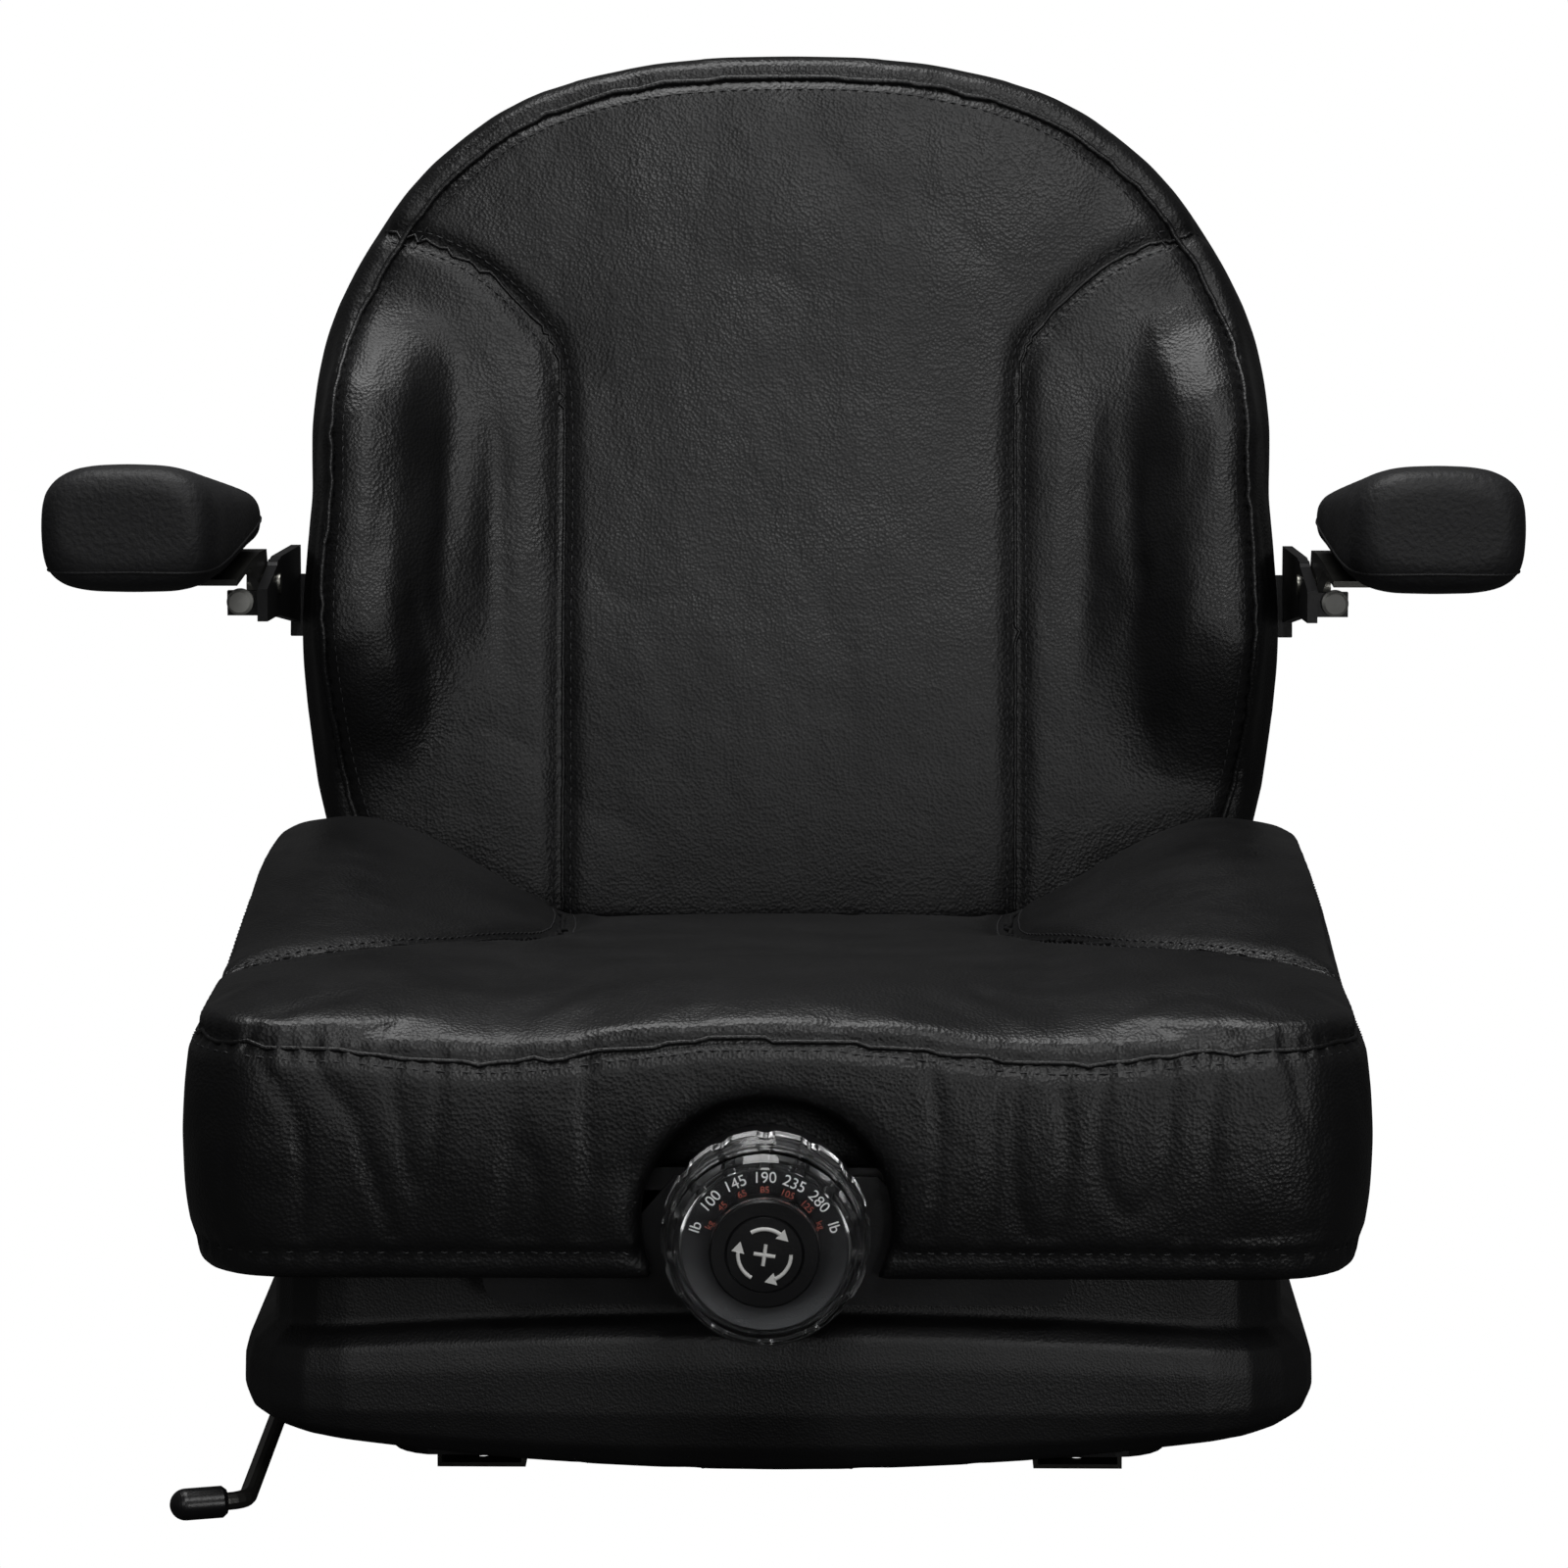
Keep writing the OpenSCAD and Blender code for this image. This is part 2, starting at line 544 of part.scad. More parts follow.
module seat_cushion() {
    cavity_roof = pan_z + pan_t + gap;
    color(black_vinyl) difference() {
        loft(concat(
            [cushion_ring(cushion_wall + 1.5, cavity_roof), cushion_ring(cushion_wall, cushion_z + 1)],
            [cushion_ring(14, cushion_z), cushion_ring(9, cushion_z + 1), cushion_ring(5, cushion_z + 9)],
            [cushion_ring(1, cushion_z + 32), cushion_ring(0, cushion_z + 58)],
            [for (i = [1:3]) [for (j = [0:len(cushion_ring(0, 0)) - 1])
                let(a = cushion_ring([0, 1.5, 4, 8][i], 0)[j], b = cushion_top_ring([0, 1.5, 4, 8][i], 6)[j])
                [a[0], a[1], cushion_z + 58 + (b[2] - cushion_z - 58) * [0, 0.45, 0.8, 1][i]]]],
            [cushion_top_ring(11, 1.5), cushion_top_ring(20, 0), cushion_top_ring(36, -1.5)],
            [for (d = [58, 84, 112, 142, 172, 202]) cushion_top_ring(d, -2)]));
        translate([knob_x, cushion_y - eps, knob_z + 2]) rotate([-90, 0, 0]) rotate_extrude() polygon([
            [0, 0], [notch_r + 8, 0], [notch_r + 3, 3], [notch_r, 9], [notch_r, cushion_wall + 4], [0, cushion_wall + 4]]);
        block(knob_x - notch_r + 8, knob_x + notch_r - 8, cushion_y - eps, cushion_y + cushion_wall + 3, cushion_z - 2, knob_z);
        for (s = [-1, 1])
            translate([s * brace_x - brace_w / 2 - 1, cushion_rear - cushion_wall - 3, cushion_z - 2])
                cube([brace_w + 2, cushion_wall + 6, deck_top + brace_t + gap - cushion_z + 2]);
    }
}

// Weight knob: clear lobed shell, black hub, dial behind the window, screw and fixed housing
module facing_front(y) translate([knob_x, y, knob_z]) rotate([90, 0, 0]) children();
housing_l = knob_y - apron_y;
module knob_housing() {
    color(black_plastic) facing_front(apron_y) difference() {
        rotate_extrude() polygon([
            [screw_d / 2 + fit, -sheet_t - 6], [screw_d / 2 + 2, -sheet_t - 6], [screw_d / 2 + 2, 0],
            [knob_d / 2 - 3, 0], [knob_d / 2 - 3, -housing_l - 1.5], [knob_d / 2 - 5, -housing_l - 1.5],
            [knob_d / 2 - 5, 3], [screw_d / 2 + fit, 3]]);
    }
}
shell_t = 2.4;
module knob_shell() {
    r = knob_d / 2;
    color([0.85, 0.87, 0.9, 0.35]) facing_front(knob_y) difference() {
        rotate_extrude() polygon([
            [r - 7.4, 0], [r - 1, 0], [r, 2], [r, 14], [r - 2.5, 17], [r - 3.5, knob_l - 6],
            [r - 6, knob_l - 1.5], [r - 8, knob_l], [hub_r, knob_l], [hub_r, knob_l - shell_t],
            [r - 9.4, knob_l - shell_t], [r - 9.4, 18], [r - 7.4, 16]]);
        for (i = [0:knob_lobes - 1]) rotate(360 / knob_lobes * (i + 0.5))
            translate([r + 5.6, 0, -eps]) cylinder(d = 14, h = knob_l - 14, $fn = 32);
    }
}
hub_r = 23.5;
module knob_hub() {
    color(black_plastic) facing_front(knob_y) rotate_extrude() polygon([
        [screw_d / 2, 6], [screw_d / 2 + 3, 6], [screw_d / 2 + 3, 24], [hub_r - 0.1, 27],
        [hub_r - 0.1, knob_l + 1], [hub_r - 1, knob_l + 2], [17, knob_l + 2], [16.4, knob_l + 1.4],
        [15.8, knob_l + 2.4], [0, knob_l + 2.8], [0, 32], [screw_d / 2, 32]]);
}
module weight_dial() {
    r = knob_d / 2 - 9.4 - 0.6;
    color(black_plastic) facing_front(knob_y) rotate_extrude() polygon([
        [screw_d / 2 + 3.4, 15], [screw_d / 2 + 5, 15], [screw_d / 2 + 5, 20], [r, 28],
        [r, 31], [screw_d / 2 + 10, 23.4], [screw_d / 2 + 3.4, 22.6]]);
}
module adjuster_screw() {
    color(plated_steel) {
        along_y(knob_x, knob_y - 31.9, knob_z, -yoke_y + knob_y + 31.9 + 2 * (yoke_y - knob_y) + 42, screw_d);
    }
}
module adjuster_yoke() {
    color(plated_steel) difference() {
        translate([0, yoke_y + 5, 0]) rotate([90, 0, 0]) linear_extrude(10) polygon([
            [-78, deck_top + gap], [78, deck_top + gap], [78, spring_z + 8], [-78, spring_z + 8]]);
        along_y(knob_x, yoke_y - 5 - eps, knob_z, 10 + 2 * eps, screw_d + 2 * fit);
        for (x = [-spring_x, spring_x]) along_y(x, yoke_y - 5 - eps, spring_z, 10 + 2 * eps, spring_wire + 1);
    }
}

// Helical tension spring with straight hooked ends, swept along its centre line
function spring_point(t) =
    let(lead = 0.1, a = 360 * spring_coils * (t - lead) / (1 - 2 * lead))
    let(r = (spring_d - spring_wire) / 2)
    let(open = ramp(t, 0.04, lead) * (1 - ramp(t, 1 - lead, 0.96)))
    [r * open * sin(a), spring_start + (spring_end - spring_start) * t, r * open * cos(a)];
spring_start = yoke_y - 9;
spring_end = pivot_y - (spring_z - up_z) * tan(lug_lean) + 7;
module spring(x) {
    n = spring_coils * 10 + 24;
    sides = 6;
    rings = [for (i = [0:n])
        let(p = spring_point(i / n), q = spring_point((i + 0.1) / n))
        let(t = (q - p) / norm(q - p), u0 = cross(t, [0, 0, 1]), u = u0 / norm(u0), v = cross(u, t))
        [for (k = [0:sides - 1])
            let(a = -360 * k / sides)
            p + [x, 0, spring_z] + spring_wire / 2 * (cos(a) * u + sin(a) * v)]];
    color(plated_steel) loft(rings);
}
module spring_left() spring(-spring_x);
module spring_right() spring(spring_x);

// Rubber boot: a bulged skirt with a step near its top and a bowed lower edge
boot_y = cushion_y + 30;
boot_top = cushion_z - gap;
function boot_low(x) = 20 + 21 * pow(x / (boot_w / 2), 2);
function boot_step(x) = 88 - 10 * pow(x / (boot_w / 2), 2);
function boot_z(level, x) =
    level <= 1 ? boot_low(x) + (52 - boot_low(x)) * level
    : level <= 2 ? 52 + (boot_step(x) - 52) * (level - 1)
    : boot_step(x) + (boot_top - boot_step(x)) * (level - 2);
boot_profile = [[0, 16], [0.1, 8], [0.4, 2.5], [0.9, 0], [1.5, 0.4], [1.85, 3], [2.02, 9], [2.12, 14], [3, 15]];
function boot_ring(level, inset) =
    [for (p = plan_ring(boot_w / 2, boot_y, boot_y + boot_d, 48, 48, inset, 14, 8, 4)) [p[0], p[1], boot_z(level, p[0])]];
module boot() {
    outside = [for (s = boot_profile) boot_ring(s[0], s[1])];
    inside = [for (i = [len(boot_profile) - 1:-1:0]) boot_ring(boot_profile[i][0], boot_profile[i][1] + boot_t)];
    color(black_plastic) shell_loft(concat(outside, inside));
}

// Backrest, drawn upright on its own plane (x across, y up the slope, z to the front), then leaned
back_base = [0, 187, 172];
module on_back() translate(back_base) rotate([90 - recline, 0, 0]) children();
back_outline = [
    [0, 0], [0.5, 0.003], [0.8, 0.03], [0.905, 0.09], [0.95, 0.16], [0.972, 0.221], [0.995, 0.324],
    [0.995, 0.4], [0.978, 0.512], [0.981, 0.587], [0.955, 0.681], [0.893, 0.761], [0.79, 0.848],
    [0.68, 0.906], [0.53, 0.957], [0.28, 0.992], [0, 1]];
function spline(a, b, c, d, t) =
    0.5 * (2 * b + (c - a) * t + (2 * a - 5 * b + 4 * c - d) * t * t + (3 * b - a - 3 * c + d) * t * t * t);
back_control = concat(back_outline, [for (i = [len(back_outline) - 2:-1:1]) [-back_outline[i][0], back_outline[i][1]]]);
back_steps = 2;
back_curve = [for (i = [0:len(back_control) - 1], k = [0:back_steps - 1])
    let(n = len(back_control))
    let(p = spline(back_control[(i + n - 1) % n], back_control[i], back_control[(i + 1) % n],
        back_control[(i + 2) % n], k / back_steps))
    [p[0] * back_w / 2, p[1] * back_h]];
back_mid = 0.49 * back_h;
function bolster(x, v) =
    bolster_h * ramp(abs(x), 0.62 * back_w / 2, 0.84 * back_w / 2) *
    ramp(v, 0.17 * back_h, 0.36 * back_h) * (1 - ramp(v, 0.57 * back_h, 0.74 * back_h));
function lumbar(v) = 7 * exp(-pow((v / back_h - 0.34) / 0.21, 2));
function back_front(x, v) = 4 + lumbar(v) + bolster(x, v);
function back_ring(scale, z) = [for (p = back_curve) [p[0] * scale, back_mid + (p[1] - back_mid) * scale, z]];
function back_front_ring(scale, drop) =
    [for (p = back_curve)
        let(x = p[0] * scale, v = back_mid + (p[1] - back_mid) * scale)
        [x, v, back_front(x, v) - drop]];
module back_cushion() {
    color(black_vinyl) on_back() loft([
        back_ring(0.93, -back_t), back_ring(0.965, -back_t + 2), back_ring(0.99, -back_t * 0.75),
        back_ring(1, -back_t * 0.4), back_ring(0.992, -6), back_ring(0.975, 0),
        back_front_ring(0.955, 2.5), back_front_ring(0.92, 0), back_front_ring(0.87, -1),
        back_front_ring(0.8, -1.5), back_front_ring(0.71, -1.5), back_front_ring(0.6, -1.5),
        back_front_ring(0.46, -1.5), back_front_ring(0.3, -1.5), back_front_ring(0.14, -1.5)]);
}
module back_panel() {
    color(black_plastic) on_back() translate([0, 0, -back_t - panel_t - gap]) {
        linear_extrude(panel_t) polygon([for (p = back_ring(0.925, 0)) [p[0], p[1]]]);
        for (x = [-70, 0, 70]) translate([x - 4, 0.18 * back_h, -3]) cube([8, 0.6 * back_h, 3 + eps]);
    }
}
brace_x = 118;
brace_w = 36;
brace_t = 5;
module back_brace() {
    plane_z = -back_t - panel_t - gap - brace_t;
    foot = [back_base[1] - plane_z * cos(recline), back_base[2] + plane_z * sin(recline)];
    up = [sin(recline), cos(recline)];
    top = foot + up * 0.62 * back_h;
    n = [cos(recline), -sin(recline)];
    low = deck_top + brace_t;
    bend = foot - up * (foot[1] - low) / up[1];
    color(black_steel) translate([brace_x - brace_w / 2, 0, 0]) rotate([90, 0, 90]) linear_extrude(brace_w)
        polygon([
            [deck_rear - 60, deck_top], [bend[0] - 4, deck_top], bend + [6, 8], top, top - n * brace_t,
            bend + [6, 8] - n * brace_t + [0, 1], [bend[0] - 9, low], [deck_rear - 60, low]]);
}
module back_brace_left() mirror([1, 0, 0]) back_brace();
module back_brace_right() back_brace();

// Armrests: moulded pad on a steel plate with an ear, on a pivot bolt in the backrest bracket
pad_x = back_w / 2 + 8;
pad_pivot_y = 172;
pad_rear_y = 192;
ear_t = 4;
pad_r = 26;
function pad_section(w, h, r, n = 28) = [for (i = [0:n - 1])
    let(a = 360 * i / n, c = cos(a), s = sin(a), p = s > 0 ? 3 : 3.6)
    [w / 2 * sign(c) * pow(abs(c), 2 / p), h / 2 * sign(s) * pow(abs(s), 2 / p)]];
pad_stations = [[0, 0.72, 0.55], [0.006, 0.84, 0.76], [0.025, 0.93, 0.9], [0.065, 0.985, 0.98], [0.13, 1, 1],
    [0.32, 1, 1], [0.52, 0.99, 1], [0.7, 0.97, 1], [0.85, 0.94, 1], [0.95, 0.88, 0.92], [0.985, 0.8, 0.76], [1, 0.66, 0.5]];
function pad_rise(u) = (1 - u) * pad_l * sin(pad_tilt);
module armrest_pad(s) {
    low = pad_pivot_z + 15;
    side(s) color(black_plastic) loft([for (i = [len(pad_stations) - 1:-1:0])
        let(st = pad_stations[i], u = st[0])
        let(h = pad_h_front + (pad_h_rear - pad_h_front) * smooth(u), y = pad_rear_y - (1 - u) * pad_l * cos(pad_tilt))
        let(top = low + pad_h_rear + pad_rise(u))
        [for (p = pad_section(pad_w * st[1], h * st[2], pad_r))
            [pad_x + pad_w / 2 + p[0] + (1 - u) * 1.5, y, top - h / 2 + p[1]]]]);
}
module armrest_pad_left() armrest_pad(-1);
module armrest_pad_right() armrest_pad(1);
ear_x = pad_x + 2;
function pad_under(u) = pad_pivot_z + 15 + pad_h_rear + pad_rise(u) - (pad_h_front + (pad_h_rear - pad_h_front) * smooth(u));
function pad_y(u) = pad_rear_y - (1 - u) * pad_l * cos(pad_tilt);
module armrest_plate(s) {
    under = [for (u = [0.93, 0.8, 0.65, 0.5, 0.38]) [pad_y(u), pad_under(u) - gap]];
    lower = [for (i = [len(under) - 1:-1:0]) under[i] - [0, 3]];
    side(s) color(black_steel) {
        translate([ear_x, 0, 0]) rotate([90, 0, 90]) linear_extrude(34) polygon(concat(under, lower));
        difference() {
            translate([ear_x, 0, 0]) rotate([90, 0, 90]) linear_extrude(ear_t) polygon(concat(
                [[pad_y(0.93), pad_under(0.93) - 1]],
                arc([pad_pivot_y, pad_pivot_z], 12, 0, -180, 8),
                [[pad_y(0.6), pad_under(0.6) - 1], [pad_y(0.8), pad_under(0.8) - 1]]));
            along_x(ear_x - eps, pad_pivot_y, pad_pivot_z, ear_t + 2 * eps, 10 + 2 * fit);
        }
    }
}
module armrest_plate_left() armrest_plate(-1);
module armrest_plate_right() armrest_plate(1);
strap_x = ear_x - 1 - bracket_t;
stop_y = pad_pivot_y - 46;
stop_z = pad_pivot_z - 4;
module armrest_bracket(s) {
    plane_z = -back_t - panel_t - gap;
    v = (pad_pivot_z - back_base[2]) / cos(recline) - 10;
    rear = back_base[1] + v * sin(recline) - plane_z * cos(recline);
    side(s) color(black_steel) difference() {
        union() {
            translate([strap_x, 0, 0]) rotate([90, 0, 90]) linear_extrude(bracket_t) polygon(concat(
                [[rear + bracket_t, pad_pivot_z - 34], [rear + bracket_t, pad_pivot_z + 6], [pad_pivot_y + 14, pad_pivot_z + 12]],
                arc([pad_pivot_y, pad_pivot_z], 12, 70, 70, 5),
                [[stop_y - 12, stop_z + 8], [stop_y - 12, stop_z - 8], [pad_pivot_y, pad_pivot_z - 16]]));
            on_back() translate([brace_x + brace_w / 2 + 1, v - 18, plane_z - bracket_t])
                cube([strap_x - brace_x - brace_w / 2 - 1 + bracket_t, 32, bracket_t]);
            translate([strap_x + bracket_t - eps, stop_y - 4, stop_z - 6]) cube([16, 5, 12]);
        }
        along_x(strap_x - eps, pad_pivot_y, pad_pivot_z, bracket_t + 2 * eps, 10);
    }
}
module armrest_bracket_left() armrest_bracket(-1);
module armrest_bracket_right() armrest_bracket(1);
module armrest_bolts() {
    color(plated_steel) for (s = [-1, 1]) side(s) {
        along_x(strap_x - 1, pad_pivot_y, pad_pivot_z, bracket_t + ear_t + 2.5, 10);
        along_x(ear_x + ear_t + gap, pad_pivot_y, pad_pivot_z, 5, 17);
    }
}
module armrest_stops() {
    color("#a9aaab") for (s = [-1, 1]) side(s)
        translate([strap_x + bracket_t + 9, stop_y - 4, stop_z + 1]) rotate([90, 0, 0]) rotate_extrude()
            polygon([[0, 0], [6.5, 0], [6.5, 3], [5, 5.4], [0, 6]]);
}

rail_left();
rail_right();
slider_left();
slider_right();
lower_frame();
lower_track_left();
lower_track_right();
lower_pivot_ears();
lower_pivot_shaft();
bump_stops();
boot();
damper_body();
damper_lug();
lever_pin();
latch_plate();
lever_rod();
lever_grip();
outer_arm_left();
outer_arm_right();
outer_rear_tube();
outer_front_shaft();
inner_arm_left();
inner_arm_right();
inner_rear_tube();
inner_front_shaft();
centre_pins();
upper_rollers();
lower_rollers();
damper_rod();
upper_frame();
upper_track_left();
upper_track_right();
upper_pivot_ears();
upper_pivot_shaft();
riser_left();
riser_right();
seat_pan();
seat_cushion();
knob_housing();
knob_shell();
knob_hub();
adjuster_screw();
weight_dial();
adjuster_yoke();
spring_left();
spring_right();
back_panel();
back_cushion();
back_brace_left();
back_brace_right();
armrest_bracket_left();
armrest_bracket_right();
armrest_pad_left();
armrest_pad_right();
armrest_plate_left();
armrest_plate_right();
armrest_stops();
armrest_bolts();
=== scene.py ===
import json
import math

import bpy
from mathutils import Matrix, Vector, kdtree, noise
from mathutils.bvhtree import BVHTree

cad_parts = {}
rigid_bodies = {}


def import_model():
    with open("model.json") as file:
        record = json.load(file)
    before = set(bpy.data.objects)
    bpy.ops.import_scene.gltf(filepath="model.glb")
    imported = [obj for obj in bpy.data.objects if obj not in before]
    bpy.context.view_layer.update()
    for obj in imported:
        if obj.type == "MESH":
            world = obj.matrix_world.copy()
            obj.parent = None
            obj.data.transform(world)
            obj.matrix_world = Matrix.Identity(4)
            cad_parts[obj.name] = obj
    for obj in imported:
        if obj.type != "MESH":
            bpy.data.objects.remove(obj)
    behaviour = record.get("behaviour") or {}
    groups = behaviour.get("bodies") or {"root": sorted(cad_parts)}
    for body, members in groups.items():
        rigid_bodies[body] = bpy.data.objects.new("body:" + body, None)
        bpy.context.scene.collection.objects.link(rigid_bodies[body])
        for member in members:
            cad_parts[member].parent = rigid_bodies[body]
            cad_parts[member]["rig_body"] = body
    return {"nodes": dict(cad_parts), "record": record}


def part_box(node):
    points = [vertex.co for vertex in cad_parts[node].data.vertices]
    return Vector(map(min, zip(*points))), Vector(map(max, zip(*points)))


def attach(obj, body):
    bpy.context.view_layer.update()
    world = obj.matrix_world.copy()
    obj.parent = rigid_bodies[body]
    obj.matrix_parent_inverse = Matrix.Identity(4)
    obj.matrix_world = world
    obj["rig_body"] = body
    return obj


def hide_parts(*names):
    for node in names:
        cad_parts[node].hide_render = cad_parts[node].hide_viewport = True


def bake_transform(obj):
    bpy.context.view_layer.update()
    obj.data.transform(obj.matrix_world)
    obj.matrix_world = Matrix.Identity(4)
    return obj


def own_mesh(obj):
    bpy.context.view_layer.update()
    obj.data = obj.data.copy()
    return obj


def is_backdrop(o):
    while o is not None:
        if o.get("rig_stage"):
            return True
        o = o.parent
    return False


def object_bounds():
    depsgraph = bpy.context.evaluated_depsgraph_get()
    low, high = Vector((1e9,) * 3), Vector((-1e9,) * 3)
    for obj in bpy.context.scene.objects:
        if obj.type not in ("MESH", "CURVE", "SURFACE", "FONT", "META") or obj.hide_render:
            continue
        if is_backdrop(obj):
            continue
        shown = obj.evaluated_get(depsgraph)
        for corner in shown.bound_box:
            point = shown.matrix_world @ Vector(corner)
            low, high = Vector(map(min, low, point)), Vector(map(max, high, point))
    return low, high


# ---- Frame ----
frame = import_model()
node, record = frame["nodes"], frame["record"]
bpy.ops.object.select_all(action="DESELECT")
cad_lo, cad_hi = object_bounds()
noise.seed_set(7)
scene = bpy.context.scene

# ---- Sizes, in metres ----
seat_lo, seat_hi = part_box("seat_cushion")
boot_lo, boot_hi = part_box("boot")
dial_lo, dial_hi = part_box("weight_dial")
hub_lo, hub_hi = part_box("knob_hub")
KNOB = (hub_lo + hub_hi) / 2
BACK_BASE = Vector((0, 0.187, 0.172))
RECLINE = math.radians(12)
BACK_UP = Vector((0, math.sin(RECLINE), math.cos(RECLINE)))
BACK_FRONT = Vector((0, -math.cos(RECLINE), math.sin(RECLINE)))
BACK_MIDDLE = 0.225
# Long seam of the backrest and cross seam of a seat wing, as points on their surfaces
LONG_SEAM = [(0.115, 0.02), (0.115, 0.16), (0.116, 0.29), (0.131, 0.325), (0.164, 0.354), (0.205, 0.37), (0.236, 0.375)]
WING_SEAM = [(0.256, -0.158), (0.227, -0.134), (0.155, -0.075), (0.114, 0.02), (0.108, 0.09), (0.112, 0.15)]
STITCH_PITCH, STITCH_LENGTH, THREAD = 0.0056, 0.0038, 0.00042
WELT = 0.0016


# ---- Materials ----
def linear(hex_code):
    """An sRGB hex colour as linear RGBA."""
    channels = [int(hex_code[i:i + 2], 16) / 255 for i in (1, 3, 5)]
    return (*[c / 12.92 if c <= 0.04045 else ((c + 0.055) / 1.055) ** 2.4 for c in channels], 1.0)


def add(tree, kind, inputs=None, **settings):
    """Adds a node; an input is a value or another node's output socket."""
    made = tree.nodes.new(kind)
    for key, value in settings.items():
        setattr(made, key, value)
    for key, value in (inputs or {}).items():
        if isinstance(value, bpy.types.NodeSocket):
            tree.links.new(value, made.inputs[key])
        else:
            made.inputs[key].default_value = value
    return made


def finish_material(name, dark, light, rough, layers, **shader):
    """A Principled material with mottled colour, varied roughness and bump layers of (kind, scale, stretch, depth)."""
    mat = bpy.data.materials.new(name)
    mat.use_nodes = True
    tree = mat.node_tree
    tree.nodes.clear()
    place = add(tree, "ShaderNodeTexCoord").outputs["Object"]
    mottle = add(tree, "ShaderNodeTexNoise", {"Vector": place, "Scale": 22.0, "Detail": 5.0}).outputs[0]
    colour = add(tree, "ShaderNodeMix", {0: mottle, 6: linear(dark), 7: linear(light)}, data_type="RGBA").outputs[2]
    gloss = add(tree, "ShaderNodeMapRange", {0: mottle, 1: 0.3, 2: 0.7, 3: rough - 0.06, 4: rough + 0.06}).outputs[0]
    normal = None
    for kind, scale, stretch, depth in layers:
        turned = add(tree, "ShaderNodeMapping", {"Vector": place, "Scale": stretch}).outputs[0]
        height = add(tree, kind, {"Vector": turned, "Scale": scale}).outputs[0]
        inputs = {"Height": height, "Distance": depth, "Strength": 1.0}
        if normal:
            inputs["Normal"] = normal
        normal = add(tree, "ShaderNodeBump", inputs).outputs[0]
    inputs = {"Base Color": colour, "Roughness": gloss}
    if normal:
        inputs["Normal"] = normal
    inputs.update({key.replace("_", " "): value for key, value in shader.items()})
    surface = add(tree, "ShaderNodeBsdfPrincipled", inputs).outputs[0]
    add(tree, "ShaderNodeOutputMaterial", {"Surface": surface})
    return mat


GRAIN = ("ShaderNodeTexVoronoi", 620.0, (1, 1, 1), 0.00022)
vinyl = finish_material("vinyl", "#0c0c0d", "#131314", 0.40, [
    ("ShaderNodeTexNoise", 15.0, (1.6, 1.0, 0.7), 0.0016), ("ShaderNodeTexNoise", 60.0, (1, 1, 1), 0.0005), GRAIN])
rubber = finish_material("rubber", "#0e0e0f", "#161617", 0.48, [
    ("ShaderNodeTexNoise", 12.0, (1, 1, 0.6), 0.002), ("ShaderNodeTexVoronoi", 900.0, (1, 1, 1), 0.00015)])
skin_foam = finish_material("skin_foam", "#161617", "#242426", 0.6, [
    ("ShaderNodeTexNoise", 420.0, (1, 1, 1), 0.0005), ("ShaderNodeTexNoise", 30.0, (1, 1, 1), 0.0008)])
thread = finish_material("thread", "#1a1a1b", "#2b2b2d", 0.5, [("ShaderNodeTexNoise", 2500.0, (1, 1, 1), 0.0001)])
painted = finish_material("painted_steel", "#131314", "#1d1d1f", 0.38, [
    ("ShaderNodeTexNoise", 900.0, (1, 1, 1), 0.00005)], Metallic=0.2)
zinc = finish_material("zinc", "#8d8d88", "#b3b2a9", 0.3, [
    ("ShaderNodeTexNoise", 300.0, (1, 6, 1), 0.00005)], Metallic=1.0)
dark_zinc = finish_material("dark_zinc", "#3a3a3a", "#55544f", 0.35, [
    ("ShaderNodeTexNoise", 400.0, (1, 1, 1), 0.00005)], Metallic=0.8)
plastic = finish_material("black_plastic", "#101011", "#18181a", 0.3, [
    ("ShaderNodeTexNoise", 700.0, (1, 1, 1), 0.00006)])
satin = finish_material("satin_plastic", "#1c1c1e", "#262628", 0.42, [
    ("ShaderNodeTexVoronoi", 1400.0, (1, 1, 1), 0.00006)])
grey_plastic = finish_material("grey_plastic", "#a8a8a4", "#bdbdb8", 0.45, [
    ("ShaderNodeTexNoise", 500.0, (1, 1, 1), 0.00005)])
clear = finish_material("clear_plastic", "#f4f7fa", "#ffffff", 0.07, [
    ("ShaderNodeTexNoise", 120.0, (1, 1, 1), 0.0001)], Transmission_Weight=1.0, IOR=1.46)
white_print = finish_material("white_print", "#e9e9e6", "#f6f6f3", 0.5, [])
red_print = finish_material("red_print", "#9a4a3c", "#b05a48", 0.5, [])


def paint(obj, mat):
    obj.data.materials.clear()
    obj.data.materials.append(mat)


FINISHES = [
    (zinc, ["centre_pins", "shaft", "adjuster_screw", "armrest_bolts", "damper_rod", "spring"]),
    (dark_zinc, ["lever_rod", "lever_pin", "damper_body", "damper_lug", "rail", "slider", "armrest_plate"]),
    (satin, ["knob_housing", "bump_stops", "back_panel", "rollers", "weight_dial"]),
    (plastic, ["knob_hub", "lever_grip"]), (grey_plastic, ["armrest_stops"]), (clear, ["knob_shell"]),
    (skin_foam, ["armrest_pad"]), (vinyl, ["cushion"]), (rubber, ["boot"]),
]
for name, obj in node.items():
    paint(obj, next((mat for mat, words in FINISHES if any(w in name for w in words)), painted))


# ---- Tools for pieces ----
def activate(obj):
    bpy.ops.object.select_all(action="DESELECT")
    obj.select_set(True)
    bpy.context.view_layer.objects.active = obj


def settle(obj, mat, source):
    """Paints a finished piece, smooths it and makes it ride as the CAD node it goes with."""
    paint(obj, mat)
    activate(obj)
    bpy.ops.object.shade_smooth()
    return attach(obj, node[source]["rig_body"])


